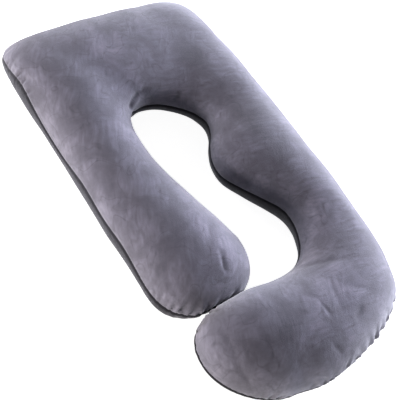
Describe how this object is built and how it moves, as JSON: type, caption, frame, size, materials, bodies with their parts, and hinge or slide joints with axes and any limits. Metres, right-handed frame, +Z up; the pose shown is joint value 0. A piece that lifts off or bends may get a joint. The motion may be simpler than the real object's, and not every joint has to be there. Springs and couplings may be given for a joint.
{
  "type": "pregnancy pillow",
  "caption": "Full body pregnancy pillow in the shape of a G: a stuffed velvet form with a short arm, a swelling for the waist, and a long arm that hooks round under the short one.",
  "frame": {"origin": "on the surface it lies on, under the middle of its outline", "axes": "+Y towards the head end, +X towards the long arm, +Z up through the pillow as it lies on its back panel"},
  "size_m": [0.7, 1.3, 0.1791],
  "materials": {
    "grey_velvet": "short-pile velvet, matte with a soft sheen"
  },
  "bodies": {
    "root": {"stuffed_pillow": "grey_velvet"}
  },
  "joints": []
}
